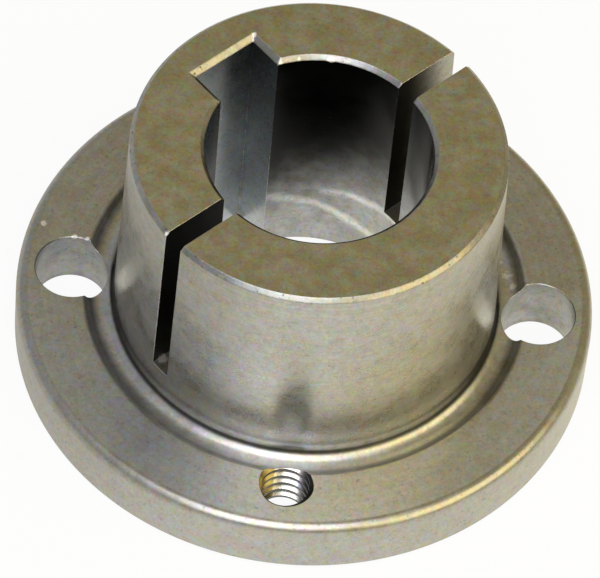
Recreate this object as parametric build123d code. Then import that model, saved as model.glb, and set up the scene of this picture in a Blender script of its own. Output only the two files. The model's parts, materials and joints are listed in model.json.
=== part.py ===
from build123d import *

import math
import os

# Taper bush: a one-piece flanged bush that clamps a hub on a shaft.
# The hub's tapered bore seats on the barrel. Screws through the flange draw the two
# together, and the saw cuts let the barrel close on the shaft.
# All lengths are in millimetres and all angles in degrees.
# The origin is the centre of the flange's back face, and +Z runs along the bore
# towards the barrel's small end. The clearance holes lie on the X axis.

# Flange
flange_diameter = 63.5
flange_thickness = 7.1
flange_rim_radius = 1.2
flange_back_chamfer = 0.4

# Barrel: its diameter is taken where the taper would meet the flange face
overall_length = 32.7
barrel_diameter = 42.0
taper_per_length = 0.75 / 12
nose_chamfer = 0.5

# Relief groove turned round the foot of the barrel, as deep as this below the flange face
groove_radius = 1.7
groove_depth = 1.2
groove_undercut = 0.03
groove_lip_radius = 0.6

# Bore and its keyway: the keyway's height runs from the bore's far wall to the keyway's floor
bore_diameter = 24.5
bore_chamfer = 0.5
keyway_width = 8.0
keyway_height = 28.0
keyway_chamfer = 0.6
keyway_angle = 135.0

# Saw cuts, straight across the barrel: the web is the metal left above the flange face
saw_width = 2.4
saw_web = 3.1
saw_angle = 45.0

# Flange holes on one circle, whose centres stand this far in from the flange's rim:
# screws pass through one pair, and the other pair is tapped for the jacking screws
# that free the bush
hole_inset = 6.0
clearance_hole_diameter = 8.1
clearance_hole_angle = 0.0
tapped_hole_diameter = 5.2
tapped_hole_angle = 90.0
countersink_diameter = 6.2

# How far each cutter stands past the face that it cuts
overcut = 1.0


def barrel_radius(height):
    """Radius of the tapered barrel at a height above the flange's back face."""
    return (barrel_diameter - taper_per_length * (height - flange_thickness)) / 2


def groove_point(centre, lean):
    """Point of the groove's arc at an angle from straight down, outwards positive."""
    swing = math.radians(lean)
    return (
        centre[0] + groove_radius * math.sin(swing),
        centre[1] - groove_radius * math.cos(swing),
    )


def turned_section():
    """Half section of the flange, groove, barrel and bore, right of the axis."""
    flange_radius = flange_diameter / 2
    bore_radius = bore_diameter / 2
    nose_height = overall_length - nose_chamfer
    nose_radius = barrel_radius(nose_height)

    # The groove's arc has its centre above the flange face and bites into the taper
    half_angle = math.atan(taper_per_length / 2)
    standoff = groove_radius - groove_undercut
    centre_height = flange_thickness - groove_depth + groove_radius
    centre = (
        barrel_radius(centre_height) + standoff / math.cos(half_angle),
        centre_height,
    )
    lip_lean = math.degrees(math.acos((groove_radius - groove_depth) / groove_radius))
    bite = math.degrees(math.acos(standoff / groove_radius))
    foot_lean = math.degrees(half_angle) - 90 - bite
    lip = groove_point(centre, lip_lean)
    floor = groove_point(centre, 0)
    foot = groove_point(centre, foot_lean)

    with BuildSketch() as section:
        with BuildLine():
            Polyline(
                lip,
                (flange_radius, flange_thickness),
                (flange_radius, flange_back_chamfer),
                (flange_radius - flange_back_chamfer, 0),
                (bore_radius + bore_chamfer, 0),
                (bore_radius, bore_chamfer),
                (bore_radius, overall_length - bore_chamfer),
                (bore_radius + bore_chamfer, overall_length),
                (nose_radius - nose_chamfer, overall_length),
                (nose_radius, nose_height),
                foot,
            )
            ThreePointArc(foot, groove_point(centre, -45), floor)
            ThreePointArc(floor, groove_point(centre, lip_lean / 2), lip)
        make_face()
        corners = section.vertices()
        rim = corners.sort_by_distance((flange_radius, flange_thickness))[0]
        fillet(rim, flange_rim_radius)
        corners = section.vertices()
        fillet(corners.sort_by_distance(lip)[0], groove_lip_radius)
    return Plane.XZ * section.sketch


def keyway_cutter():
    """Keyway along the whole bore, with a chamfered mouth at the small end."""
    reach = keyway_height - bore_diameter / 2
    plan = Pos(X=reach / 2) * Rectangle(reach, keyway_width)
    slot = Pos(Z=-overcut) * extrude(plan, overall_length + 2 * overcut)
    mouth_plan = Pos(Z=overall_length - keyway_chamfer) * plan
    mouth = extrude(mouth_plan, keyway_chamfer, taper=-45)
    return Rot(Z=keyway_angle) * (slot + mouth)


def saw_cutter():
    """One straight cut across the barrel that leaves a web above the flange."""
    floor = flange_thickness + saw_web
    height = overall_length + overcut - floor
    blade = Box(
        flange_diameter,
        saw_width,
        height,
        align=(Align.CENTER, Align.CENTER, Align.MIN),
    )
    return Rot(Z=saw_angle) * Pos(Z=floor) * blade


def across_flange(cutter, angle):
    """Two copies of a cutter on the bolt circle, opposite each other."""
    radius = flange_diameter / 2 - hole_inset
    return [
        Rot(Z=angle + turn) * Pos(X=radius) * cutter
        for turn in (0, 180)
    ]


def clearance_drill():
    """Plain drill through the flange and its groove."""
    height = flange_thickness + 2 * overcut
    drill = Cylinder(
        clearance_hole_diameter / 2,
        height,
        align=(Align.CENTER, Align.CENTER, Align.MIN),
    )
    return Pos(Z=-overcut) * drill


def tapping_drill():
    """Tapping drill through the flange, countersunk at both faces."""
    height = flange_thickness + 2 * overcut
    drill_radius = tapped_hole_diameter / 2
    drill = Cylinder(
        drill_radius,
        height,
        align=(Align.CENTER, Align.CENTER, Align.MIN),
    )
    sink_radius = countersink_diameter / 2
    sink_depth = sink_radius - drill_radius
    sink = Cone(
        sink_radius + overcut,
        drill_radius,
        sink_depth + overcut,
        align=(Align.CENTER, Align.CENTER, Align.MIN),
    )
    back_sink = Pos(Z=-overcut) * sink
    front_sink = Pos(Z=flange_thickness + overcut) * Rot(X=180) * sink
    return Pos(Z=-overcut) * drill + back_sink + front_sink


def taper_bush():
    """The turned body with its keyway, saw cuts and flange holes."""
    body = revolve(turned_section(), axis=Axis.Z)
    body -= keyway_cutter()
    body -= saw_cutter()
    body -= across_flange(clearance_drill(), clearance_hole_angle)
    body -= across_flange(tapping_drill(), tapped_hole_angle)
    return body


bush = taper_bush()
bush.label = "taper_bush"
os.makedirs("parts", exist_ok=True)
export_step(bush, "parts/taper_bush.step")
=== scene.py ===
"""Taper bush: the visual model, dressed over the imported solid.

The bush is one piece of metal. Its turned form is swept from a half section, the
keyway, saw cuts and holes are cut out of it, and each cutter leaves its own finish.
Sizes are in millimetres unless a name says otherwise; the scene is in metres.
"""

import json
import logging
import math
from dataclasses import dataclass, field
from enum import Enum
from typing import Any, Mapping, Sequence

import bmesh
import bpy
from mathutils import Matrix, Vector


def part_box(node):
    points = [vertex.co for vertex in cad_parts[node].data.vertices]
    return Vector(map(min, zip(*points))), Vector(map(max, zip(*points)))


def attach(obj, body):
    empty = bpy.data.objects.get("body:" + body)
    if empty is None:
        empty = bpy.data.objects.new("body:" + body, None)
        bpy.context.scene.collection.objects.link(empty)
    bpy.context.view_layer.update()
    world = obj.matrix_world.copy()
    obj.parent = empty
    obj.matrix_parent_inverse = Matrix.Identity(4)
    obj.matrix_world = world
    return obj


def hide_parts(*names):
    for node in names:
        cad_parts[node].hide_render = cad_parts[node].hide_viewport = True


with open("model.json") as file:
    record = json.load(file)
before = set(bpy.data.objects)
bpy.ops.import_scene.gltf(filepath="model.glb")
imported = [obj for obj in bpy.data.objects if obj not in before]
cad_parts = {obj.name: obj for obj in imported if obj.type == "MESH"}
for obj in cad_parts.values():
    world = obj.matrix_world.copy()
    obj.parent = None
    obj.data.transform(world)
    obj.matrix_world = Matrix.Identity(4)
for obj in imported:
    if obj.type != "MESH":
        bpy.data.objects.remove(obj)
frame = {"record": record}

LOG = logging.getLogger("taper_bush")
MM = 0.001
FULL_TURN = 2.0 * math.pi
WELD = 1e-6
"""Points closer than this, in metres, become one."""
SLACK = 0.01
"""How far off a level a face may lie and still belong to it, in millimetres."""
WALL, LEVEL = 0.3, 0.98
"""The most that a wall's normal rises, and the least that a level face's does."""
NODE = "taper_bush"
BODY = "root"

FLOAT = "NodeSocketFloat"
INT = "NodeSocketInt"
VECTOR = "NodeSocketVector"
GEOMETRY = "NodeSocketGeometry"
MATERIAL = "NodeSocketMaterial"

Point = tuple[float, float]
Triple = tuple[float, float, float]
Colour = Triple
Block = tuple[float, float, float, float]
"""A level rectangle: its height, start, end and half width, in millimetres."""
Socket = bpy.types.NodeSocket
Tree = bpy.types.NodeTree
Material = bpy.types.Material
Mesh = bpy.types.Mesh
Object = bpy.types.Object

WHITE: Colour = (1.0, 1.0, 1.0)
# Painted shade for inside corners.
CORNER_SHADE_COLOUR: Colour = (0.06, 0.05, 0.035)
WORN_METAL: Colour = (0.783, 0.783, 0.783)
# White of torn metal at nicks, standing partly for painted glints.
TORN_METAL_GLINT: Colour = (0.96, 0.96, 0.95)


class Zone(Enum):
    """The finishes that the making of the bush leaves on it."""

    FLANGE = "turned_flange"
    RIM = "turned_rim"
    GROOVE = "turned_groove"
    BARREL = "ground_taper"
    END = "faced_end"
    EDGE = "turned_chamfer"
    BORE = "honed_bore"
    KEYWAY = "broached_keyway"
    SAWN = "sawn_slot"
    DRILLED = "drilled_hole"
    TAPPED = "tapped_thread"
    CREST = "thread_crest"


class Turn(Enum):
    """What a finish's tool marks follow: the radius on a face, the height on a wall."""

    ACROSS_FACE = "radius"
    ALONG_WALL = "height"


# ---------------------------------------------------------------- node helpers


def opaque(colour: Any) -> Any:
    """A plain colour with its alpha, or a socket as it is."""
    return (*colour, 1.0) if isinstance(colour, tuple) else colour


class NodeSheet:
    """Writes nodes and links into one node tree."""

    def __init__(self, tree: Tree) -> None:
        """Starts on a tree, and clears it."""
        self.tree = tree
        tree.nodes.clear()

    def add(
        self, kind: str, inputs: Mapping[str | int, Any] | None = None, **settings: Any
    ) -> bpy.types.Node:
        """Adds a node.

        Args:
            kind: The node's type name.
            inputs: A value, or an output socket to link, for each input by name or index.
            **settings: The node's own properties.

        Returns:
            The new node.
        """
        node = self.tree.nodes.new(kind)
        for name, value in settings.items():
            setattr(node, name, value)
        for key, value in (inputs or {}).items():
            if isinstance(value, Socket):
                self.tree.links.new(value, node.inputs[key])
            else:
                node.inputs[key].default_value = value
        return node

    def group(self, tree: Tree, inputs: Mapping[str, Any]) -> Any:
        """Places a shader group and returns its outputs."""
        return self.add("ShaderNodeGroup", inputs, node_tree=tree).outputs

    def math(self, operation: str, *values: Any, clamp: bool = False) -> Socket:
        """Adds a Math node and returns its result, kept between 0 and 1 with clamp."""
        return self.add(
            "ShaderNodeMath", dict(enumerate(values)), operation=operation, use_clamp=clamp
        ).outputs[0]

    def vector(self, operation: str, *values: Any) -> Socket:
        """Adds a Vector Math node and returns the vector that it gives."""
        return self.add("ShaderNodeVectorMath", dict(enumerate(values)), operation=operation).outputs[0]

    def gauge(self, operation: str, *values: Any) -> Socket:
        """Adds a Vector Math node and returns the number that it gives."""
        node = self.add("ShaderNodeVectorMath", dict(enumerate(values)), operation=operation)
        return node.outputs["Value"]

    def scaled(self, value: Any, by: Any) -> Socket:
        """A colour or vector made larger or smaller by a factor."""
        return self.add("ShaderNodeVectorMath", {0: value, "Scale": by}, operation="SCALE").outputs[0]

    def split(self, value: Socket) -> Any:
        """A vector's three parts."""
        return self.add("ShaderNodeSeparateXYZ", {0: value}).outputs

    def blend(self, share: Any, first: Any, second: Any) -> Socket:
        """Mixes two colours, the first at a share of 0 and the second at 1."""
        inputs = {0: share, 6: opaque(first), 7: opaque(second)}
        return self.add("ShaderNodeMix", inputs, data_type="RGBA").outputs[2]

    def between(self, value: Any, low: float, high: float) -> Socket:
        """Turns a value into a soft mask, 0 at low and 1 at high, either way round."""
        inputs = {0: value, 1: low, 2: high, 3: 0.0, 4: 1.0}
        return self.add("ShaderNodeMapRange", inputs, interpolation_type="SMOOTHSTEP").outputs[0]

    def noise(self, where: Any, scale: Any, detail: float, roughness: float = 0.55) -> Socket:
        """Adds a Noise Texture.

        Args:
            where: The coordinates' socket.
            scale: How many features to the coordinate's unit.
            detail: Its octaves.
            roughness: How strong the finer octaves are.

        Returns:
            The grey output's socket.
        """
        inputs = {"Vector": where, "Scale": scale, "Detail": detail, "Roughness": roughness}
        return self.add("ShaderNodeTexNoise", inputs).outputs["Fac"]

    def axis_distance(self, where: Socket) -> Socket:
        """The distance from the bush's axis, in metres."""
        return self.gauge("LENGTH", self.vector("MULTIPLY", where, (1.0, 1.0, 0.0)))


class GroupSheet(NodeSheet):
    """The inside of a node group, with named sockets.

    Attributes:
        given: The group's inputs, by name.
    """

    def __init__(
        self,
        name: str,
        inputs: Mapping[str, tuple[str, Any]],
        outputs: Mapping[str, str],
        kind: str = "ShaderNodeTree",
    ) -> None:
        """Starts a group.

        Args:
            name: The group's name.
            inputs: Socket type and default value of each input by name.
            outputs: Socket type of each output by name.
            kind: The tree's type name.
        """
        super().__init__(bpy.data.node_groups.new(name, kind))
        for title, (socket_type, value) in inputs.items():
            socket = self.tree.interface.new_socket(title, in_out="INPUT", socket_type=socket_type)
            if value is not None:
                socket.default_value = value
        for title, socket_type in outputs.items():
            self.tree.interface.new_socket(title, in_out="OUTPUT", socket_type=socket_type)
        self.given = self.add("NodeGroupInput").outputs
        self._results = self.add("NodeGroupOutput").inputs

    def give(self, **results: Socket) -> Tree:
        """Links the group's outputs and returns the finished tree."""
        for title, socket in results.items():
            self.tree.links.new(socket, self._results[title])
        return self.tree


# ---------------------------------------------------------------- shared surface effects


NICKS_WITH_GLINTS: tuple[tuple[Triple, float, float], ...] = (
    ((-25.9, 4.1, 7.1), 0.28, 1.0),
    ((-24.5, 4.0, 7.1), 0.22, 1.0),
    ((-29.5, 5.5, 7.1), 0.30, 0.6),
    ((-15.1, -13.2, 32.4), 0.25, 1.0),
    ((-5.1, 11.2, 32.3), 0.25, 0.9),
    ((-3.2, 11.9, 32.4), 0.22, 1.0),
    ((0.3, 12.3, 32.5), 0.35, 1.0),
    ((-8.3, 14.6, 32.6), 0.25, 0.8),
    ((21.4, 7.4, 6.6), 0.6, 0.38),
    ((22.0, 5.6, 6.2), 0.5, 0.34),
    ((22.8, 4.2, 6.1), 0.4, 0.3),
    ((-14.6, -13.4, 10.2), 0.5, 0.3),
)
# Each nick's place and size in millimetres, and how bright its white, painted glint is.
"""Each nick's place and size in millimetres, and how bright it is."""


class SurfaceEffects:
    """The shader groups that the finishes share, each built once."""

    def __init__(self) -> None:
        """Builds every group."""
        self.grain = self._grain()
        self.mottle = self._mottle()
        self.tool_marks = self._tool_marks()
        self.edge_wear = self._edge_wear()
        self.crevice = self._crevice()
        self.nicks = self._nicks()
        self.ring = self._ring()

    @staticmethod
    def _grain() -> Tree:
        """Fine grain of pressed and sintered iron, with scattered open pores."""
        sheet = GroupSheet(
            "sintered_grain",
            {"Vector": (VECTOR, None), "Grain mm": (FLOAT, 0.3), "Pores": (FLOAT, 0.5)},
            {"Tone": FLOAT, "Pore": FLOAT, "Height": FLOAT, "Tint": VECTOR},
        )
        where = sheet.given["Vector"]
        scale = sheet.math("DIVIDE", 1.0 / MM, sheet.given["Grain mm"])
        fine = sheet.noise(where, scale, 3.0, 0.65)
        oxide = sheet.add(
            "ShaderNodeTexNoise",
            {"Vector": where, "Scale": sheet.math("MULTIPLY", scale, 0.3), "Detail": 4.0, "Roughness": 0.8},
        )
        tint = sheet.vector("MULTIPLY_ADD", oxide.outputs["Color"], (1.3, 1.05, 2.2), (0.35, 0.475, -0.1))
        cells = sheet.add(
            "ShaderNodeTexVoronoi",
            {"Vector": where, "Scale": sheet.math("MULTIPLY", scale, 0.55)},
            feature="F1",
        )
        pit = sheet.between(cells.outputs["Distance"], 0.34, 0.12)
        chosen = sheet.between(sheet.noise(where, sheet.math("MULTIPLY", scale, 0.4), 1.0), 0.5, 0.62)
        open_pit = sheet.math("MULTIPLY", pit, chosen)
        pore = sheet.math("MULTIPLY", open_pit, sheet.given["Pores"], clamp=True)
        return sheet.give(Tone=fine, Pore=pore, Height=sheet.math("SUBTRACT", fine, pore), Tint=tint)

    @staticmethod
    def _mottle() -> Tree:
        """Broad soft patches of oil film and handling, and smaller stains in them."""
        sheet = GroupSheet(
            "oil_mottle",
            {"Vector": (VECTOR, None), "Patch mm": (FLOAT, 3.0)},
            {"Film": FLOAT, "Stain": FLOAT},
        )
        where = sheet.given["Vector"]
        scale = sheet.math("DIVIDE", 1.0 / MM, sheet.given["Patch mm"])
        film = sheet.between(sheet.noise(where, scale, 3.0, 0.6), 0.35, 0.65)
        shifted = sheet.vector("ADD", where, (0.7, 0.3, 0.1))
        spots = sheet.noise(shifted, sheet.math("MULTIPLY", scale, 3.2), 2.0, 0.6)
        return sheet.give(Film=film, Stain=sheet.between(spots, 0.52, 0.72))

    @staticmethod
    def _tool_marks() -> Tree:
        """Rings left by a turning tool, uneven in depth round the part."""
        sheet = GroupSheet(
            "tool_marks",
            {"Along": (FLOAT, 0.0), "Vector": (VECTOR, None), "Feed mm": (FLOAT, 0.2)},
            {"Height": FLOAT, "Tone": FLOAT},
        )
        feed = sheet.math("MULTIPLY", sheet.given["Feed mm"], MM)
        turns = sheet.math("DIVIDE", sheet.given["Along"], feed)
        drift = sheet.add(
            "ShaderNodeTexNoise",
            {"W": sheet.math("MULTIPLY", turns, 0.37), "Scale": 1.0, "Detail": 2.0},
            noise_dimensions="1D",
        ).outputs["Fac"]
        patch = sheet.noise(sheet.given["Vector"], 0.3 / MM, 2.0)
        depth = sheet.math("MULTIPLY", sheet.math("ADD", drift, patch), 0.5)
        wave = sheet.math("PINGPONG", turns, 0.5)
        return sheet.give(Height=sheet.math("MULTIPLY", wave, depth), Tone=drift)

    @staticmethod
    def _edge_wear() -> Tree:
        """Worn and burred edges: a mask, and a normal that rounds the edge off."""
        sheet = GroupSheet(
            "edge_wear",
            {"Vector": (VECTOR, None), "Width mm": (FLOAT, 0.15), "Nicks": (FLOAT, 0.5)},
            {"Mask": FLOAT, "Normal": VECTOR},
        )
        nicks = sheet.between(sheet.noise(sheet.given["Vector"], 1.1 / MM, 3.0, 0.7), 0.35, 0.7)
        uneven = sheet.math("ADD", sheet.math("MULTIPLY", nicks, sheet.given["Nicks"]), 0.6)
        width = sheet.math("MULTIPLY", sheet.given["Width mm"], MM)
        bevel = sheet.add("ShaderNodeBevel", {"Radius": sheet.math("MULTIPLY", width, uneven)}, samples=6)
        geometry = sheet.add("ShaderNodeNewGeometry")
        facing = sheet.gauge("DOT_PRODUCT", bevel.outputs[0], geometry.outputs["Normal"])
        return sheet.give(Mask=sheet.between(facing, 0.985, 0.8), Normal=bevel.outputs[0])

    @staticmethod
    def _crevice() -> Tree:
        """Painted shade that darkens inside corners where they are occluded."""
        sheet = GroupSheet(
            "crevice_oil", {"Vector": (VECTOR, None), "Reach mm": (FLOAT, 1.5)}, {"Mask": FLOAT}
        )
        reach = sheet.math("MULTIPLY", sheet.given["Reach mm"], MM)
        occlusion = sheet.add("ShaderNodeAmbientOcclusion", {"Distance": reach}, samples=8)
        corner = sheet.between(occlusion.outputs["AO"], 0.75, 0.3)
        breakup = sheet.between(sheet.noise(sheet.given["Vector"], 0.8 / MM, 3.0), 0.3, 0.6)
        return sheet.give(Mask=sheet.math("MULTIPLY", corner, breakup))

    @staticmethod
    def _nicks() -> Tree:
        """Small dents of torn metal, each at its own place on the bush, painted white as bright glints."""
        sheet = GroupSheet("bright_nicks", {"Vector": (VECTOR, None)}, {"Mask": FLOAT})
        where = sheet.given["Vector"]
        ragged = sheet.noise(where, 2.0 / MM, 3.0, 0.7)
        total: Any = 0.0
        for place, size, strength in NICKS_WITH_GLINTS:
            gap = sheet.gauge("DISTANCE", where, tuple(part * MM for part in place))
            reach = sheet.math("MULTIPLY_ADD", ragged, 3.0 * size * MM, -0.5 * size * MM)
            mark = sheet.between(sheet.math("SUBTRACT", gap, reach), 0.1 * MM, -0.1 * MM)
            total = sheet.math("MAXIMUM", total, sheet.math("MULTIPLY", mark, strength))
        return sheet.give(Mask=total)

    @staticmethod
    def _ring() -> Tree:
        """A painted ring of reflected light round a wall, that leans across it and fades toward one side."""
        sheet = GroupSheet(
            "wiped_ring",
            {
                "Vector": (VECTOR, None),
                "Rise mm": (FLOAT, 6.0),
                "Lean": (FLOAT, 0.0),
                "Width mm": (FLOAT, 0.8),
                "From mm": (FLOAT, -9.0),
            },
            {"Mask": FLOAT},
        )
        given = sheet.given
        across, _, height = sheet.split(sheet.scaled(given["Vector"], 1.0 / MM))
        waver = sheet.math("MULTIPLY_ADD", sheet.noise(given["Vector"], 0.25 / MM, 2.0), 1.6, -0.8)
        level = sheet.math("MULTIPLY_ADD", across, given["Lean"], given["Rise mm"])
        course = sheet.math("ADD", level, waver)
        off = sheet.math("ABSOLUTE", sheet.math("SUBTRACT", height, course))
        band = sheet.between(off, given["Width mm"], 0.0)
        side = sheet.between(sheet.math("SUBTRACT", across, given["From mm"]), -1.0, 1.5)
        return sheet.give(Mask=sheet.math("MULTIPLY", band, side))


# ---------------------------------------------------------------- finishes


@dataclass(frozen=True)
class PaintedTone:
    """A painted tone over part of a surface: painted shade or a painted paler sheen.

    Attributes:
        colour: Its colour.
        start: Where along its direction it starts, in millimetres.
        full: Where along it it is full, in millimetres.
        along: Its direction, or None for toward the axis.
        rush: How much sooner it takes hold than an even fade would.
        wiped: The radius within which the front is left without it, in millimetres.
    """

    colour: Colour
    start: float
    full: float
    along: Triple | None = (0.0, 0.0, 1.0)
    rush: float = 1.0
    wiped: float | None = None

    def share(self, sheet: NodeSheet, where: Socket) -> Socket:
        """How much of it lies at a point.

        Args:
            sheet: The material's sheet.
            where: The object coordinates.

        Returns:
            A value from 0 where the metal is untoned to 1 where the painted tone is full.
        """
        if self.along is None:
            reach = sheet.math("MULTIPLY", sheet.axis_distance(where), -1.0 / MM)
        else:
            reach = sheet.gauge("DOT_PRODUCT", where, tuple(part / MM for part in self.along))
        span = 0.25 * (self.full - self.start)
        ragged = sheet.math("MULTIPLY_ADD", sheet.noise(where, 0.4 / MM, 3.0), span, -0.5 * span)
        untoned = sheet.between(sheet.math("ADD", reach, ragged), self.full, self.start)
        share = sheet.math("SUBTRACT", 1.0, sheet.math("POWER", untoned, self.rush))
        if self.wiped is None:
            return share
        radius = sheet.math("MULTIPLY", sheet.axis_distance(where), 1.0 / MM)
        forward = sheet.gauge("DOT_PRODUCT", where, (0.0, -1.0 / MM, 0.0))
        front = sheet.between(sheet.math("DIVIDE", forward, radius), 0.3, 0.9)
        within = sheet.between(radius, self.wiped + 0.1, self.wiped - 0.05)
        kept = sheet.math("MULTIPLY_ADD", sheet.math("MULTIPLY", front, within), -1.0, 1.0)
        return sheet.math("MULTIPLY", share, kept)


@dataclass(frozen=True)
class MetalFinish:
    """One machined finish on the bush's iron.

    Attributes:
        zone: The surfaces that it covers.
        colour: The clean metal's colour.
        film: The metal's colour under a film of oil.
        rough: The roughness between patches.
        rough_swing: How far grain and film move the roughness.
        grain: The grain's size in millimetres.
        grain_depth: The grain's depth in millimetres.
        pores: How open the pores are, from 0 to 1.
        patch: The oil patches' size in millimetres.
        marks: What the tool marks follow, or None where there are none.
        feed: The tool marks' spacing in millimetres.
        marks_depth: The tool marks' depth in millimetres.
        edge: The worn edge's width in millimetres.
        corner_shade_depth: How dark the painted shade in inside corners is, from 0 to 1.
        painted_tones: The painted light and shade that parts of the surface take, one over the other.
        painted_light_rings: Rise, lean, width and start of each painted ring of reflected light, in
            millimetres.
        tint: How far the grain's colours wander, from 0 to 1.
        reach: How far from an inside corner the painted shade spreads, in millimetres.
    """

    zone: Zone
    colour: Colour = (0.52, 0.51, 0.48)
    film: Colour = (0.47, 0.455, 0.41)
    rough: float = 0.32
    rough_swing: float = 0.08
    grain: float = 0.30
    grain_depth: float = 0.006
    pores: float = 0.5
    patch: float = 3.0
    marks: Turn | None = None
    feed: float = 0.20
    marks_depth: float = 0.002
    edge: float = 0.12
    corner_shade_depth: float = 0.5
    painted_tones: tuple[PaintedTone, ...] = ()
    painted_light_rings: tuple[tuple[float, float, float, float], ...] = ()
    tint: float = 0.7
    reach: float = 1.5

    def make(self, effects: SurfaceEffects) -> Material:
        """Builds the finish's material.

        Args:
            effects: The shared shader groups.

        Returns:
            The material.
        """
        material = bpy.data.materials.new(self.zone.value)
        material.use_nodes = True
        material.diffuse_color = opaque(self.colour)
        sheet = NodeSheet(material.node_tree)
        where = sheet.add("ShaderNodeTexCoord").outputs["Object"]
        grain = sheet.group(effects.grain, {"Vector": where, "Grain mm": self.grain, "Pores": self.pores})
        mottle = sheet.group(effects.mottle, {"Vector": where, "Patch mm": self.patch})
        wear = sheet.group(effects.edge_wear, {"Vector": where, "Width mm": self.edge})
        crevice = sheet.group(effects.crevice, {"Vector": where, "Reach mm": self.reach})
        nick_glint = sheet.group(effects.nicks, {"Vector": where})["Mask"]

        height = sheet.math("MULTIPLY", grain["Height"], self.grain_depth * MM)
        streak: Any = 0.5
        if self.marks is not None:
            marks = self._marks(sheet, where, effects)
            height = sheet.math("ADD", height, sheet.math("MULTIPLY", marks["Height"], self.marks_depth * MM))
            streak = marks["Tone"]

        metal = sheet.blend(mottle["Film"], self.colour, self.film)
        # Painted light and shade, laid over the metal's colour.
        for painted_tone in self.painted_tones:
            metal = sheet.blend(painted_tone.share(sheet, where), metal, painted_tone.colour)
        # Painted rings of reflected light brighten the wall.
        for rise, lean, width, start in self.painted_light_rings:
            ring = sheet.group(
                effects.ring,
                {"Vector": where, "Rise mm": rise, "Lean": lean, "Width mm": width, "From mm": start},
            )
            metal = sheet.scaled(metal, sheet.math("MULTIPLY_ADD", ring["Mask"], 0.8, 1.0))
        metal = sheet.vector("MULTIPLY", metal, sheet.blend(self.tint, WHITE, grain["Tint"]))
        speck = sheet.math("MULTIPLY_ADD", grain["Tone"], 0.5, 0.75)
        line = sheet.math("MULTIPLY_ADD", streak, 0.16, 0.92)
        metal = sheet.scaled(metal, sheet.math("MULTIPLY", speck, line))
        patchy = sheet.math("MULTIPLY_ADD", mottle["Stain"], -0.12, 1.0)
        spotted = sheet.math("MULTIPLY_ADD", grain["Pore"], -0.55, 1.0)
        metal = sheet.scaled(metal, sheet.math("MULTIPLY", patchy, spotted))
        metal = sheet.blend(wear["Mask"], metal, WORN_METAL)
        # Painted shade: inside corners darken where they are occluded.
        metal = sheet.blend(sheet.math("MULTIPLY", crevice["Mask"], self.corner_shade_depth), metal, CORNER_SHADE_COLOUR)
        # Nicks of torn metal, painted white as glints.
        metal = sheet.blend(nick_glint, metal, TORN_METAL_GLINT)

        swing = sheet.math("SUBTRACT", grain["Tone"], mottle["Film"])
        rough = sheet.math("MULTIPLY_ADD", swing, self.rough_swing, self.rough + 0.25 * self.rough_swing)
        rough = sheet.math("ADD", rough, sheet.math("MULTIPLY", grain["Pore"], 0.2), clamp=True)
        bump = sheet.add(
            "ShaderNodeBump",
            {"Strength": 1.0, "Distance": 1.0, "Height": height, "Normal": wear["Normal"]},
        )
        shader = sheet.add(
            "ShaderNodeBsdfPrincipled",
            {
                "Base Color": metal,
                "Metallic": sheet.math("MULTIPLY_ADD", nick_glint, -0.8, 1.0),
                "Roughness": rough,
                "Normal": bump.outputs[0],
            },
        )
        sheet.add("ShaderNodeOutputMaterial", {"Surface": shader.outputs[0]})
        return material

    def _marks(self, sheet: NodeSheet, where: Socket, effects: SurfaceEffects) -> Any:
        """Places the tool marks' group, fed with the radius or the height.

        Args:
            sheet: The material's sheet.
            where: The object coordinates.
            effects: The shared shader groups.

        Returns:
            The group's outputs.
        """
        across = self.marks is Turn.ACROSS_FACE
        along = sheet.axis_distance(where) if across else sheet.split(where)[2]
        return sheet.group(effects.tool_marks, {"Along": along, "Vector": where, "Feed mm": self.feed})


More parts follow.
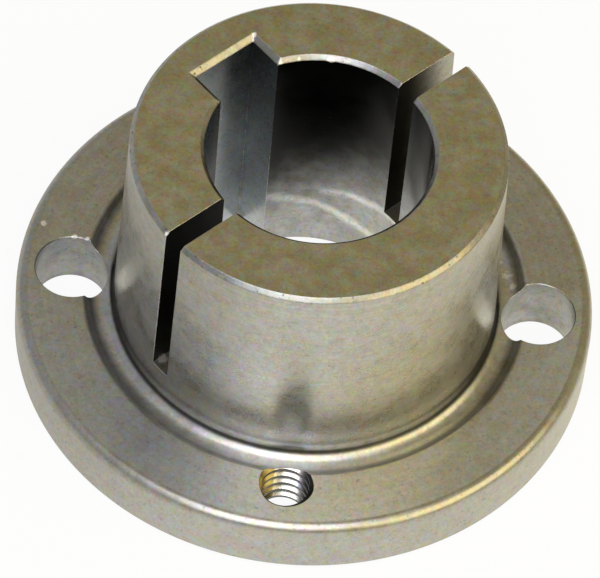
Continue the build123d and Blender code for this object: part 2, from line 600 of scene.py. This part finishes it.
FINISHES: tuple[MetalFinish, ...] = (
    MetalFinish(
        Zone.FLANGE,
        film=(0.485, 0.47, 0.43),
        rough=0.38,
        rough_swing=0.05,
        patch=2.0,
        marks=Turn.ACROSS_FACE,
        feed=0.25,
        corner_shade_depth=0.3,
        # Painted sheen: the flange is made paler at its front right and front left.
        painted_tones=(
            PaintedTone((0.60, 0.615, 0.64), 19.0, 26.0, (0.766, -0.643, 0.0)),
            PaintedTone((0.53, 0.545, 0.57), 20.0, 26.5, (-0.707, -0.707, 0.0)),
        ),
    ),
    MetalFinish(
        Zone.RIM, colour=(0.495, 0.485, 0.46), film=(0.465, 0.45, 0.41), rough_swing=0.05, patch=2.0
    ),
    MetalFinish(
        Zone.GROOVE,
        colour=(0.55, 0.55, 0.545),
        film=(0.50, 0.495, 0.48),
        marks=Turn.ACROSS_FACE,
        feed=0.18,
        pores=0.2,
        corner_shade_depth=0.2,
        # Painted shadow: a dark line round the barrel's foot, left off its inner edge at the front.
        painted_tones=(PaintedTone((0.09, 0.09, 0.085), -21.62, -21.3, None, wiped=21.12),),
    ),
    MetalFinish(
        Zone.BARREL,
        rough=0.28,
        marks=Turn.ALONG_WALL,
        feed=0.16,
        pores=0.08,
        # Painted shade: the barrel is darker toward its foot.
        painted_tones=(PaintedTone((0.43, 0.42, 0.395), -12.5, -9.0, (0.0, 0.0, -1.0)),),
    ),
    MetalFinish(
        Zone.END,
        # The small end's gold is partly the metal's own tone and partly painted warm reflection.
        colour=(0.52, 0.49, 0.37),
        film=(0.47, 0.435, 0.29),
        rough=0.38,
        grain_depth=0.010,
        pores=0.35,
        patch=2.0,
        tint=1.0,
    ),
    MetalFinish(
        Zone.BORE,
        colour=(0.42, 0.42, 0.42),
        film=(0.33, 0.325, 0.315),
        rough=0.15,
        rough_swing=0.05,
        grain_depth=0.002,
        marks=Turn.ALONG_WALL,
        feed=0.12,
        marks_depth=0.001,
        corner_shade_depth=0.0,
        # Painted shade: the bore darkens upward and toward the left.
        painted_tones=(PaintedTone((0.004, 0.004, 0.004), 4.0, 26.0, (-0.5, 0.0, 1.0), rush=3.0),),
        # Painted rings of reflected light in the bore.
        painted_light_rings=((6.9, -0.34, 1.1, -12.0), (9.5, 0.08, 1.0, 0.5)),
    ),
    MetalFinish(
        Zone.KEYWAY,
        colour=(0.44, 0.465, 0.49),
        film=(0.40, 0.425, 0.45),
        rough=0.24,
        edge=0.03,
        # Painted shade: the keyway darkens upward from its foot.
        painted_tones=(PaintedTone((0.27, 0.29, 0.31), 2.0, 9.0),),
    ),
    MetalFinish(
        # Painted shade: the saw slots are made dark, fading out toward the outer end of one of them.
        Zone.SAWN, rough=0.36, painted_tones=(PaintedTone((0.03, 0.03, 0.03), -18.5, -13.5, (-0.707, -0.707, 0.0)),)
    ),
    MetalFinish(
        Zone.DRILLED,
        colour=(0.40, 0.405, 0.41),
        film=(0.28, 0.285, 0.29),
        rough=0.30,
        marks=Turn.ALONG_WALL,
    ),
    MetalFinish(
        Zone.TAPPED,
        colour=(0.74, 0.74, 0.76),
        film=(0.64, 0.63, 0.60),
        rough=0.20,
        pores=0.2,
        edge=0.03,
        corner_shade_depth=1.0,
        reach=0.9,
        # Painted warm reflection on the tapped holes' left; painted shade on their right and on the front
        # hole's front wall.
        painted_tones=(
            PaintedTone((0.36, 0.30, 0.14), 1.2, 1.5, (-1.0, 0.0, 0.0)),
            PaintedTone((0.05, 0.05, 0.05), 1.0, 2.3, (1.0, 0.0, 0.0)),
            PaintedTone((0.05, 0.05, 0.05), 26.2, 27.2, (0.0, -1.0, 0.0)),
        ),
    ),
    MetalFinish(
        # Painted shade: the thread's crests are made dark.
        Zone.CREST, colour=(0.16, 0.16, 0.165), film=(0.11, 0.11, 0.115), marks=Turn.ALONG_WALL, edge=0.02
    ),
    MetalFinish(
        Zone.EDGE, colour=(0.45, 0.445, 0.435), film=(0.38, 0.37, 0.35), grain=0.35, pores=1.0, edge=0.4
    ),
)


# ---------------------------------------------------------------- geometry trees


@dataclass
class FormTree:
    """A Geometry Nodes tree that makes a form, and the way to run it."""

    tree: Tree

    def identifier(self, title: str) -> str:
        """Identifier of the input with this name."""
        for item in self.tree.interface.items_tree:
            if item.in_out == "INPUT" and item.name == title:
                return item.identifier
        raise KeyError(title)

    def run(self, name: str, start: Mesh, values: Mapping[str, Any]) -> Mesh:
        """Runs the tree on a mesh and gives the result as a plain mesh.

        Args:
            name: The result's name.
            start: The mesh that goes in.
            values: The tree's inputs by name.

        Returns:
            The finished mesh, with nothing live on it.
        """
        carrier = link(name + "_run", start)
        modifier = carrier.modifiers.new("form", "NODES")
        modifier.node_group = self.tree
        for title, value in values.items():
            modifier[self.identifier(title)] = value
        graph = bpy.context.evaluated_depsgraph_get()
        result = bpy.data.meshes.new_from_object(carrier.evaluated_get(graph))
        result.name = name
        carrier.modifiers.remove(modifier)
        bpy.data.objects.remove(carrier)
        bpy.data.meshes.remove(start)
        return result


class FormSheet(GroupSheet):
    """The inside of a Geometry Nodes tree that takes a form in and gives one out."""

    def __init__(self, name: str, inputs: Mapping[str, tuple[str, Any]]) -> None:
        """Starts a tree.

        Args:
            name: The tree's name.
            inputs: Socket type and default value of each input of its own, by name.
        """
        sockets = {"Form": (GEOMETRY, None), **inputs, "Material": (MATERIAL, None)}
        super().__init__(name, sockets, {"Form": GEOMETRY}, "GeometryNodeTree")

    def turned(self, value: Socket, angle: Socket) -> Socket:
        """A vector turned about Z."""
        inputs = {"Vector": value, "Angle": angle}
        return self.add("ShaderNodeVectorRotate", inputs, rotation_type="Z_AXIS").outputs[0]

    def done(self, geometry: Socket) -> FormTree:
        """Ends the tree with real geometry in the given material."""
        whole = self.add("GeometryNodeRealizeInstances", {"Geometry": geometry}).outputs[0]
        inputs = {"Geometry": whole, "Material": self.given["Material"]}
        return FormTree(self.give(Form=self.add("GeometryNodeSetMaterial", inputs).outputs[0]))


def swept_tree() -> FormTree:
    """Sweeps a section, given as a chain of points in the XZ plane, about Z.

    Returns:
        The tree, with the inputs Turns, Steps (to a turn), Points (in the chain),
        Pitch (its rise in a turn) and Material.
    """
    sheet = FormSheet(
        "swept_form",
        {"Turns": (FLOAT, 1.0), "Steps": (INT, 48), "Points": (INT, 4), "Pitch": (FLOAT, 0.0)},
    )
    given = sheet.given
    index = sheet.add("GeometryNodeInputIndex").outputs[0]
    station = sheet.math("FLOOR", sheet.math("DIVIDE", index, given["Points"]))
    turns = sheet.math("DIVIDE", station, given["Steps"])
    stations = sheet.math("ADD", sheet.math("MULTIPLY", given["Turns"], given["Steps"]), 1.0)
    grid = sheet.add("GeometryNodeMeshGrid", {"Vertices X": stations, "Vertices Y": given["Points"]})
    sample = sheet.add(
        "GeometryNodeSampleIndex",
        {
            "Geometry": given["Form"],
            "Value": sheet.add("GeometryNodeInputPosition").outputs[0],
            "Index": sheet.math("FLOORED_MODULO", index, given["Points"]),
        },
        data_type="FLOAT_VECTOR",
        domain="POINT",
    )
    turned = sheet.turned(sample.outputs[0], sheet.math("MULTIPLY", turns, FULL_TURN))
    lift = sheet.add("ShaderNodeCombineXYZ", {"Z": sheet.math("MULTIPLY", turns, given["Pitch"])})
    place = sheet.vector("ADD", turned, lift.outputs[0])
    moved = sheet.add("GeometryNodeSetPosition", {"Geometry": grid.outputs["Mesh"], "Position": place})
    welded = sheet.add("GeometryNodeMergeByDistance", {"Geometry": moved.outputs[0], "Distance": WELD})
    return sheet.done(welded.outputs[0])


def ring_tree() -> FormTree:
    """Repeats a form round a circle about Z, each copy turned to face out.

    Returns:
        The tree, with the inputs Count, Radius, Start (an angle) and Material.
    """
    sheet = FormSheet(
        "ring_of_copies", {"Count": (INT, 2), "Radius": (FLOAT, 0.02), "Start": (FLOAT, 0.0)}
    )
    given = sheet.given
    share = sheet.math("DIVIDE", sheet.add("GeometryNodeInputIndex").outputs[0], given["Count"])
    angle = sheet.math("MULTIPLY_ADD", share, FULL_TURN, given["Start"])
    reach = sheet.add("ShaderNodeCombineXYZ", {"X": given["Radius"]}).outputs[0]
    points = sheet.add(
        "GeometryNodePoints", {"Count": given["Count"], "Position": sheet.turned(reach, angle)}
    )
    copies = sheet.add(
        "GeometryNodeInstanceOnPoints",
        {
            "Points": points.outputs[0],
            "Instance": given["Form"],
            "Rotation": sheet.add("ShaderNodeCombineXYZ", {"Z": angle}).outputs[0],
        },
    )
    return sheet.done(copies.outputs[0])


# ---------------------------------------------------------------- the bush


@dataclass
class Section:
    """A chain of points in the half plane of radius and height, in millimetres.

    Attributes:
        points: The chain so far.
        hold: How far from an arc's ends the straight beside it gets a point of its own,
            so that flat faces stay flat where they run into the arc.
        corner_steps: How many straights stand for a broken corner.
    """

    points: list[Point] = field(default_factory=list)
    hold: float = 0.03
    corner_steps: int = 4

    def to(self, radius: float, height: float) -> None:
        """Adds a point."""
        self.points.append((radius, height))

    def arc(self, centre: Point, radius: float, start: float, end: float, steps: int) -> None:
        """Adds an arc.

        Args:
            centre: The arc's centre.
            radius: The arc's radius.
            start: The angle of its first point, in degrees from outwards.
            end: The angle of its last point.
            steps: How many straights stand for it.
        """
        for step in range(steps + 1):
            angle = math.radians(start + (end - start) * step / steps)
            self.to(centre[0] + radius * math.cos(angle), centre[1] + radius * math.sin(angle))

    def corner(self, place: Point, break_radius: float, came: Point, goes: Point) -> None:
        """Adds a corner, broken by a small arc.

        Args:
            place: The corner's radius and height.
            break_radius: The radius of the small arc.
            came: A point on the straight before it.
            goes: A point on the straight after it.
        """
        here = Vector(place)
        back = (Vector(came) - here).normalized()
        on = (Vector(goes) - here).normalized()
        half = back.angle(on) / 2.0
        reach = break_radius / math.tan(half)
        centre = here + (back + on).normalized() * (break_radius / math.sin(half))
        first, last = here + back * reach, here + on * reach
        self.to(*(here + back * (reach + self.hold)))
        for step in range(self.corner_steps + 1):
            spot = first.lerp(last, step / self.corner_steps) - centre
            self.to(*(centre + spot.normalized() * break_radius))
        self.to(*(here + on * (reach + self.hold)))

    def mesh(self, name: str, closed: bool) -> Mesh:
        """Turns the chain into a mesh of loose points in the XZ plane, in metres.

        Args:
            name: The mesh's name.
            closed: Whether the first point is repeated at the end.

        Returns:
            The mesh.
        """
        chain = self.points + self.points[:1] if closed else self.points
        mesh = bpy.data.meshes.new(name)
        mesh.from_pydata([(radius * MM, 0.0, height * MM) for radius, height in chain], [], [])
        return mesh


@dataclass
class TaperBush:
    """The flanged taper bush, in millimetres, with its flange's back face at height 0.

    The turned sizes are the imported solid's. The bore, the hole circle and the holes
    come from the record's mounts.
    """

    flange_thickness: float = 7.1
    rim_radius: float = 1.2
    back_chamfer: float = 0.4
    barrel_diameter: float = 42.0
    taper_per_length: float = 0.75 / 12
    nose_chamfer: float = 0.5
    groove_radius: float = 1.7
    groove_depth: float = 1.2
    groove_undercut: float = 0.03
    lip_radius: float = 0.6
    bore_chamfer: float = 0.5
    keyway_width: float = 8.0
    keyway_height: float = 28.0
    keyway_chamfer: float = 0.6
    keyway_angle: float = 135.0
    saw_width: float = 2.4
    saw_web: float = 3.1
    saw_angle: float = 45.0
    clearance_angle: float = 0.0
    clearance_break: float = 0.1
    tapped_angle: float = 90.0
    countersink_radius: float = 2.9
    thread_radius: float = 3.1
    thread_pitch: float = 1.27
    thread_slope: float = 30.0
    thread_mouth: float = 3.0 / 8.0
    thread_inset: float = 0.25
    thread_overrun: float = 0.6
    edge_break: float = 0.06
    overcut: float = 1.0
    stations: int = 384
    drill_stations: int = 96
    sharp_angle: float = 28.0

    def __post_init__(self) -> None:
        """Reads the sizes that the frame and the record give, and builds the form trees."""
        low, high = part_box(NODE)
        mounts = {mount["name"]: mount for mount in frame["record"]["mounts"]}
        screws = mounts["hub_screw_holes"]["dims"]
        self.flange_radius = (high[0] - low[0]) / 2.0 / MM
        self.overall = (high[2] - low[2]) / MM
        self.bore_radius = mounts["shaft_bore"]["dims"]["r_mm"]
        self.circle_radius = screws["pcd_mm"] / 2.0
        self.clearance_radius = screws["hole_r_mm"]
        self.tapping_radius = mounts["jacking_hole_front"]["dims"]["r_mm"]
        self.sweep, self.ring = swept_tree(), ring_tree()

    def barrel_radius(self, height: float) -> float:
        """Radius of the tapered barrel at a height."""
        return (self.barrel_diameter - self.taper_per_length * (height - self.flange_thickness)) / 2.0

    def half_section(self) -> Section:
        """The turned form's half section, once round from the groove's lip."""
        top = self.flange_thickness
        rim = self.flange_radius
        bore = self.bore_radius
        tall = self.overall
        nose_height = tall - self.nose_chamfer
        nose = self.barrel_radius(nose_height)
        half_angle = math.atan(self.taper_per_length / 2.0)
        standoff = self.groove_radius - self.groove_undercut
        centre_height = top - self.groove_depth + self.groove_radius
        centre = (self.barrel_radius(centre_height) + standoff / math.cos(half_angle), centre_height)
        lip_height = top - self.lip_radius
        reach = self.groove_radius + self.lip_radius
        lip_out = math.sqrt(reach**2 - (centre_height - lip_height) ** 2)
        lip_centre = (centre[0] + lip_out, lip_height)
        lean = math.degrees(math.atan2(lip_height - centre_height, lip_out))
        bite = math.degrees(math.acos(standoff / self.groove_radius))
        foot_angle = 180.0 + math.degrees(half_angle) - bite
        foot = (
            centre[0] + self.groove_radius * math.cos(math.radians(foot_angle)),
            centre[1] + self.groove_radius * math.sin(math.radians(foot_angle)),
        )
        chain = Section()
        chain.arc(lip_centre, self.lip_radius, 180.0 + lean, 90.0, 10)
        chain.to(lip_centre[0] + chain.hold, top)
        chain.to(rim - self.rim_radius - chain.hold, top)
        chain.arc((rim - self.rim_radius, top - self.rim_radius), self.rim_radius, 90.0, 0.0, 14)
        chain.to(rim, top - self.rim_radius - chain.hold)
        corners = [
            (rim, top - self.rim_radius),
            (rim, self.back_chamfer),
            (rim - self.back_chamfer, 0.0),
            (bore + self.bore_chamfer, 0.0),
            (bore, self.bore_chamfer),
            (bore, tall - self.bore_chamfer),
            (bore + self.bore_chamfer, tall),
            (nose - self.nose_chamfer, tall),
            (nose, nose_height),
            foot,
        ]
        for before, corner, after in zip(corners, corners[1:], corners[2:]):
            chain.corner(corner, self.edge_break, before, after)
        chain.arc(centre, self.groove_radius, foot_angle, 360.0 + lean, 30)
        chain.points.pop()
        return chain

    def drill_section(self, drill: float, sink: float) -> Section:
        """Half section of a drill that opens out at both of the flange's faces.

        Args:
            drill: The hole's radius.
            sink: The radius of its opening at each face.

        Returns:
            The section.
        """
        low, high = -self.overcut, self.flange_thickness + self.overcut
        return Section([
            (0.0, low),
            (sink, low),
            (sink, 0.0),
            (drill, sink - drill),
            (drill, self.flange_thickness - (sink - drill)),
            (sink, self.flange_thickness),
            (sink, high),
            (0.0, high),
        ])

    def thread_section(self) -> Section:
        """Section of the thread's groove, which leaves crests a quarter of the pitch wide."""
        slope = math.tan(math.radians(self.thread_slope))
        mouth = self.thread_pitch * self.thread_mouth
        inner, outer = self.tapping_radius - self.thread_inset, self.thread_radius
        half = mouth + self.thread_inset * slope
        flat = mouth - (outer - self.tapping_radius) * slope
        return Section([(inner, -half), (outer, -flat), (outer, flat), (inner, half)])

    def broach(self) -> list[Block]:
        """The broach's form, with the chamfered mouth at the small end."""
        reach = self.keyway_height - self.bore_radius
        half = self.keyway_width / 2.0
        mouth = self.overall - self.keyway_chamfer
        flare = 2.0 * self.overcut
        return [
            (-self.overcut, 0.0, reach, half),
            (mouth, 0.0, reach, half),
            (mouth + flare, 0.0, reach + flare, half + flare),
        ]

    def saw(self) -> list[Block]:
        """The saw's path, straight across the barrel."""
        span = self.flange_radius
        heights = (self.flange_thickness + self.saw_web, self.overall + self.overcut)
        return [(height, -span, span, self.saw_width / 2.0) for height in heights]

    @staticmethod
    def block_cutter(
        name: str, blocks: Sequence[Block], angle: float, material: Material
    ) -> Object:
        """Joins level rectangles into a closed cutter.

        Args:
            name: The cutter's name.
            blocks: The rectangles, lowest first.
            angle: How far it is turned about the axis, in degrees.
            material: The finish that it leaves.

        Returns:
            The cutter.
        """
        form = bmesh.new()
        spin = Matrix.Rotation(math.radians(angle), 3, "Z")
        levels = []
        for height, start, end, half in blocks:
            spots = ((start, -half), (end, -half), (end, half), (start, half))
            levels.append([form.verts.new(spin @ (Vector((x, y, height)) * MM)) for x, y in spots])
        form.faces.new(list(reversed(levels[0])))
        form.faces.new(levels[-1])
        for lower, upper in zip(levels, levels[1:]):
            for side in range(len(lower)):
                after = (side + 1) % len(lower)
                form.faces.new((lower[side], lower[after], upper[after], upper[side]))
        mesh = bpy.data.meshes.new(name)
        form.to_mesh(mesh)
        form.free()
        mesh.materials.append(material)
        return link(name, mesh)

    def drill_cutter(
        self, name: str, section: Section, angle: float, material: Material
    ) -> Object:
        """A pair of drills on the hole circle.

        Args:
            name: The cutter's name.
            section: The drill's half section.
            angle: Where the first hole is, in degrees.
            material: The finish that they leave.

        Returns:
            The cutter.
        """
        values = {"Steps": self.drill_stations, "Points": len(section.points), "Material": material}
        form = self.sweep.run(name + "_form", section.mesh(name, closed=False), values)
        return self._pair(name, form, angle, material)

    def thread_cutter(self, material: Material) -> Object:
        """The tap's path through both jacking holes, right-handed.

        Args:
            material: The finish that it leaves.

        Returns:
            The cutter.
        """
        section = self.thread_section()
        turns = math.ceil((self.flange_thickness + 2.0 * self.thread_overrun) / self.thread_pitch)
        values = {
            "Turns": float(turns),
            "Points": len(section.points) + 1,
            "Pitch": self.thread_pitch * MM,
            "Material": material,
        }
        run = self.sweep.run("thread_form", section.mesh("thread_section", closed=True), values)
        form = bmesh.new()
        form.from_mesh(run)
        bmesh.ops.translate(form, verts=form.verts, vec=(0.0, 0.0, -self.thread_overrun * MM))
        bmesh.ops.holes_fill(form, edges=[edge for edge in form.edges if edge.is_boundary])
        form.to_mesh(run)
        form.free()
        return self._pair("thread_cutter", run, self.tapped_angle, material)

    def _pair(
        self, name: str, form: Mesh, angle: float, material: Material
    ) -> Object:
        """Puts a form at two opposite places on the hole circle.

        Args:
            name: The result's name.
            form: What is put there.
            angle: Where the first one is, in degrees.
            material: Its finish.

        Returns:
            The two forms as one object.
        """
        start, radius = math.radians(angle), self.circle_radius * MM
        values = {"Count": 2, "Radius": radius, "Start": start, "Material": material}
        return link(name, self.ring.run(name, form, values))

    def machine(self, dress: Mapping[Zone, Material]) -> Object:
        """Turns, broaches, saws, drills and taps the bush.

        Args:
            dress: The material of each finish.

        Returns:
            The finished bush.
        """
        section = self.half_section()
        points = len(section.points) + 1
        values = {"Steps": self.stations, "Points": points, "Material": dress[Zone.BARREL]}
        blank = self.sweep.run("taper_bush_blank", section.mesh("half_section", closed=True), values)
        bush = link("taper_bush_body", blank)
        LOG.info("turned blank: %d faces", len(blank.polygons))
        plain_drill = self.drill_section(self.clearance_radius, self.clearance_radius + self.clearance_break)
        tapping_drill = self.drill_section(self.tapping_radius, self.countersink_radius)
        for cutter in (
            self.block_cutter("keyway_cutter", self.broach(), self.keyway_angle, dress[Zone.KEYWAY]),
            self.block_cutter("saw_cutter", self.saw(), self.saw_angle, dress[Zone.SAWN]),
            self.drill_cutter("clearance_drill", plain_drill, self.clearance_angle, dress[Zone.DRILLED]),
            self.drill_cutter("tapping_drill", tapping_drill, self.tapped_angle, dress[Zone.CREST]),
            self.thread_cutter(dress[Zone.TAPPED]),
        ):
            flip_outwards(cutter.data)
            self._cut(bush, cutter)
        return bush

    @staticmethod
    def _cut(body: Object, cutter: Object) -> None:
        """Cuts one form out of the body and removes the cutter.

        Args:
            body: The object that is cut.
            cutter: The form that comes out of it.
        """
        modifier = body.modifiers.new("cut", "BOOLEAN")
        modifier.operation = "DIFFERENCE"
        modifier.solver = "EXACT"
        modifier.material_mode = "TRANSFER"
        modifier.object = cutter
        graph = bpy.context.evaluated_depsgraph_get()
        old = body.data
        body.data = bpy.data.meshes.new_from_object(body.evaluated_get(graph))
        body.modifiers.remove(modifier)
        bpy.data.meshes.remove(old)
        LOG.info("%s: %d faces left on the body", cutter.name, len(body.data.polygons))
        bpy.data.objects.remove(cutter)

    def zone_at(self, centre: Vector, normal: Vector) -> Zone:
        """Which finish a face of the turned form has.

        Args:
            centre: The face's middle, in metres.
            normal: The face's normal.

        Returns:
            The finish.
        """
        radius = math.hypot(centre.x, centre.y) / MM
        height = centre.z / MM
        top = self.flange_thickness
        groove_foot = top - self.groove_depth - 10.0 * SLACK
        groove_rim = self.barrel_radius(top) + 2.0 * self.groove_radius + 0.8
        if radius < self.bore_radius + self.bore_chamfer and abs(normal.z) < WALL:
            return Zone.BORE
        if height > self.overall - self.nose_chamfer - SLACK and abs(normal.z) < LEVEL:
            return Zone.EDGE
        if height > self.overall - 2.0 * SLACK:
            return Zone.END
        if height > top + 1.15:
            return Zone.BARREL
        if radius < groove_rim and height > groove_foot and normal.z > -0.2:
            return Zone.GROOVE
        if radius > self.flange_radius - self.rim_radius and normal.z > -0.9:
            return Zone.RIM
        return Zone.FLANGE

    def dress(self, bush: Object, materials: Mapping[Zone, Material]) -> None:
        """Gives each face its finish, and smooth shading up to the sharp edges.

        Args:
            bush: The cut bush.
            materials: The material of each finish.
        """
        mesh = bush.data
        slots = {material.name: place for place, material in enumerate(mesh.materials) if material}
        for material in materials.values():
            if material.name not in slots:
                mesh.materials.append(material)
                slots[material.name] = len(mesh.materials) - 1
        floors = {Zone.KEYWAY: Zone.EDGE, Zone.SAWN: Zone.FLANGE, Zone.CREST: Zone.TAPPED}
        upward = {materials[wall].name: floor for wall, floor in floors.items()}
        for face in mesh.polygons:
            left_by = mesh.materials[face.material_index].name
            if left_by == materials[Zone.BARREL].name:
                zone = self.zone_at(face.center, face.normal)
            elif left_by in upward and face.normal.z > WALL:
                zone = upward[left_by]
            else:
                continue
            face.material_index = slots[materials[zone].name]
        mesh.shade_smooth()
        mesh.set_sharp_from_angle(angle=math.radians(self.sharp_angle))


def link(name: str, mesh: Mesh) -> Object:
    """Makes an object of a mesh and puts it in the scene."""
    piece = bpy.data.objects.new(name, mesh)
    bpy.context.scene.collection.objects.link(piece)
    return piece


def flip_outwards(mesh: Mesh) -> None:
    """Points a closed mesh's faces outwards."""
    form = bmesh.new()
    form.from_mesh(mesh)
    bmesh.ops.recalc_face_normals(form, faces=form.faces)
    form.to_mesh(mesh)
    form.free()


# ---------------------------------------------------------------- studio


@dataclass(frozen=True)
class Softbox:
    """A soft lamp, aimed at the bush.

    Attributes:
        name: The lamp's name.
        azimuth: Its direction round the bush in degrees, 0 along +X.
        elevation: Its height above the floor in degrees.
        distance: How far it stands from the bush in metres.
        width: Its width in metres.
        height: Its height in metres.
        radiance: Its brightness, where 1 is a white sheet's in this light.
        tint: Its colour.
    """

    name: str
    azimuth: float
    elevation: float
    distance: float
    width: float
    height: float
    radiance: float
    tint: Colour

    def hang(self, aim: Vector) -> None:
        """Puts the lamp in the scene.

        Args:
            aim: The point that it faces.
        """
        lamp = bpy.data.lights.new(self.name, "AREA")
        lamp.shape = "RECTANGLE"
        lamp.size = self.width
        lamp.size_y = self.height
        lamp.energy = self.radiance * math.pi * self.width * self.height
        lamp.color = self.tint
        stand = bpy.data.objects.new(self.name, lamp)
        round_, up = math.radians(self.azimuth), math.radians(self.elevation)
        toward = Vector((math.cos(up) * math.cos(round_), math.cos(up) * math.sin(round_), math.sin(up)))
        stand.location = aim + toward * self.distance
        stand.rotation_euler = toward.to_track_quat("Z", "Y").to_euler()
        stand.visible_camera = False
        bpy.context.scene.collection.objects.link(stand)


@dataclass
class Studio:
    """The floor, the lamps and the room that the bush reflects."""

    floor_radius: float = 3.0
    backdrop_height: float = 0.5
    floor_colour: Colour = (0.86, 0.86, 0.85)
    floor_speck: Colour = (0.8, 0.8, 0.8)
    floor_share: float = 0.93
    # Painted light and shade that the metal sees in the floor: darker on the left, warm bands, dark under the
    # bore's front.
    reflected_left_shade: Colour = (0.62, 0.60, 0.54)
    reflected_light_bands: tuple[tuple[float, float, Colour], ...] = (
        (-0.040, -0.005, (0.98, 0.965, 0.88)),
        (0.0, 0.035, (0.97, 0.92, 0.76)),
        (0.042, 0.065, (0.50, 0.44, 0.27)),
    )
    bore_shade: Colour = (0.03, 0.03, 0.03)
    room_left: Colour = (0.37, 0.375, 0.38)
    room_right: Colour = (0.365, 0.31, 0.17)
    aim: Triple = (0.0, 0.0, 0.012)
    lamps: tuple[Softbox, ...] = (
        Softbox("key_box", -97.0, 57.0, 0.5, 0.32, 0.50, 2.8, (0.98, 0.98, 1.0)),
        Softbox("warm_box", -28.0, 34.0, 0.6, 0.62, 0.48, 1.85, (1.0, 0.865, 0.47)),
    )

    def build(self) -> None:
        """Builds the floor, the lamps and the room."""
        self._floor()
        self._room()
        for lamp in self.lamps:
            lamp.hang(Vector(self.aim))
        LOG.info("studio: floor, room and %d lamps", len(self.lamps))

    def _floor(self) -> None:
        """Lays a round floor whose rim turns up as a low backdrop."""
        form = bmesh.new()
        bmesh.ops.create_circle(form, cap_ends=True, segments=96, radius=self.floor_radius)
        kerb = bmesh.ops.extrude_edge_only(form, edges=list(form.edges))["geom"]
        raised = [part for part in kerb if isinstance(part, bmesh.types.BMVert)]
        bmesh.ops.translate(form, verts=raised, vec=(0.0, 0.0, self.backdrop_height))
        mesh = bpy.data.meshes.new("floor")
        form.to_mesh(mesh)
        form.free()
        mesh.materials.append(self._paper())
        link("floor", mesh)

    def _paper(self) -> Material:
        """The floor's material: white to the eye, with painted light and shade in reflections, and it keeps a
        shadow.

        Returns:
            The material.
        """
        material = bpy.data.materials.new("pale_floor")
        material.use_nodes = True
        sheet = NodeSheet(material.node_tree)
        where = sheet.add("ShaderNodeTexCoord").outputs["Object"]
        across, along, _ = sheet.split(where)
        speck = sheet.math("MULTIPLY", sheet.noise(where, 40.0, 2.0), 0.03)
        colour = sheet.blend(speck, self.floor_colour, self.floor_speck)
        paper = sheet.add("ShaderNodeBsdfDiffuse", {"Color": colour})

        # Painted reflection: only the metal's reflections see these tones.
        painted_reflection: Any = self.reflected_left_shade
        for start, full, tint in self.reflected_light_bands:
            painted_reflection = sheet.blend(sheet.between(across, start, full), painted_reflection, tint)
        under_bore = sheet.between(sheet.gauge("LENGTH", where), 0.0125, 0.0120)
        front = sheet.between(along, 0.003, -0.006)
        painted_reflection = sheet.blend(sheet.math("MULTIPLY", under_bore, front), painted_reflection, self.bore_shade)
        path = sheet.add("ShaderNodeLightPath").outputs
        shown = sheet.blend(path["Is Camera Ray"], painted_reflection, WHITE)
        glow = sheet.add("ShaderNodeEmission", {"Color": shown, "Strength": 1.0})
        reflected = sheet.math("MAXIMUM", path["Is Glossy Ray"], path["Is Transmission Ray"])
        seen = sheet.math("MAXIMUM", path["Is Camera Ray"], reflected)
        share = sheet.math("MULTIPLY", seen, self.floor_share)
        surface = sheet.add("ShaderNodeMixShader", {0: share, 1: paper.outputs[0], 2: glow.outputs[0]})
        sheet.add("ShaderNodeOutputMaterial", {"Surface": surface.outputs[0]})
        return material

    def _room(self) -> None:
        """Sets the plain room beyond the floor."""
        world = bpy.data.worlds.new("room")
        bpy.context.scene.world = world
        world.use_nodes = True
        sheet = NodeSheet(world.node_tree)
        across = sheet.split(sheet.add("ShaderNodeTexCoord").outputs["Generated"])[0]
        colour = sheet.blend(sheet.between(across, -0.5, 0.2), self.room_left, self.room_right)
        back = sheet.add("ShaderNodeBackground", {"Color": colour, "Strength": 1.0})
        sheet.add("ShaderNodeOutputWorld", {"Surface": back.outputs[0]})


@dataclass(frozen=True)
class ViewPoint:
    """Where the bush is seen from.

    Attributes:
        elevation: The height of the line of sight above the floor, in degrees.
        roll: How far the camera leans, in degrees.
        distance: How far it stands from the bush's origin, in metres.
        sideways: How far it is moved along its own horizontal, in millimetres.
        upward: How far it is moved along its own vertical, in millimetres.
        lens: Its focal length in millimetres.
    """

    elevation: float = 53.566
    roll: float = 5.794
    distance: float = 0.610814
    sideways: float = -0.152
    upward: float = 4.336
    lens: float = 330.43

    def place(self) -> None:
        """Puts the camera in the scene and looks through it."""
        up = math.radians(self.elevation)
        lean = math.radians(self.roll)
        back = Vector((0.0, -math.cos(up), math.sin(up)))
        level = Vector((1.0, 0.0, 0.0))
        rise = Vector((0.0, math.sin(up), math.cos(up)))
        right = math.cos(lean) * level + math.sin(lean) * rise
        top = -math.sin(lean) * level + math.cos(lean) * rise
        data = bpy.data.cameras.new("view")
        data.lens = self.lens
        data.sensor_width = 36.0
        data.sensor_fit = "HORIZONTAL"
        data.clip_start = 0.05
        data.clip_end = 20.0
        camera = bpy.data.objects.new("view", data)
        turn = Matrix((right, top, back)).transposed().to_4x4()
        spot = back * self.distance + right * (self.sideways * MM) + top * (self.upward * MM)
        camera.matrix_world = Matrix.Translation(spot) @ turn
        bpy.context.scene.collection.objects.link(camera)
        bpy.context.scene.camera = camera
        LOG.info("camera placed %.3f m away", self.distance)


def main() -> None:
    """Builds the bush, then the studio and the camera."""
    logging.basicConfig(level=logging.INFO, format="%(name)s: %(message)s")
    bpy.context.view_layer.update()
    bpy.context.scene.view_settings.view_transform = "Standard"
    effects = SurfaceEffects()
    materials = {finish.zone: finish.make(effects) for finish in FINISHES}
    LOG.info("finishes: %d", len(materials))
    maker = TaperBush()
    bush = maker.machine(materials)
    maker.dress(bush, materials)
    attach(bush, BODY)
    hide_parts(NODE)
    LOG.info("%s: %d faces", bush.name, len(bush.data.polygons))
    Studio().build()
    ViewPoint().place()


if __name__ == "__main__":
    main()
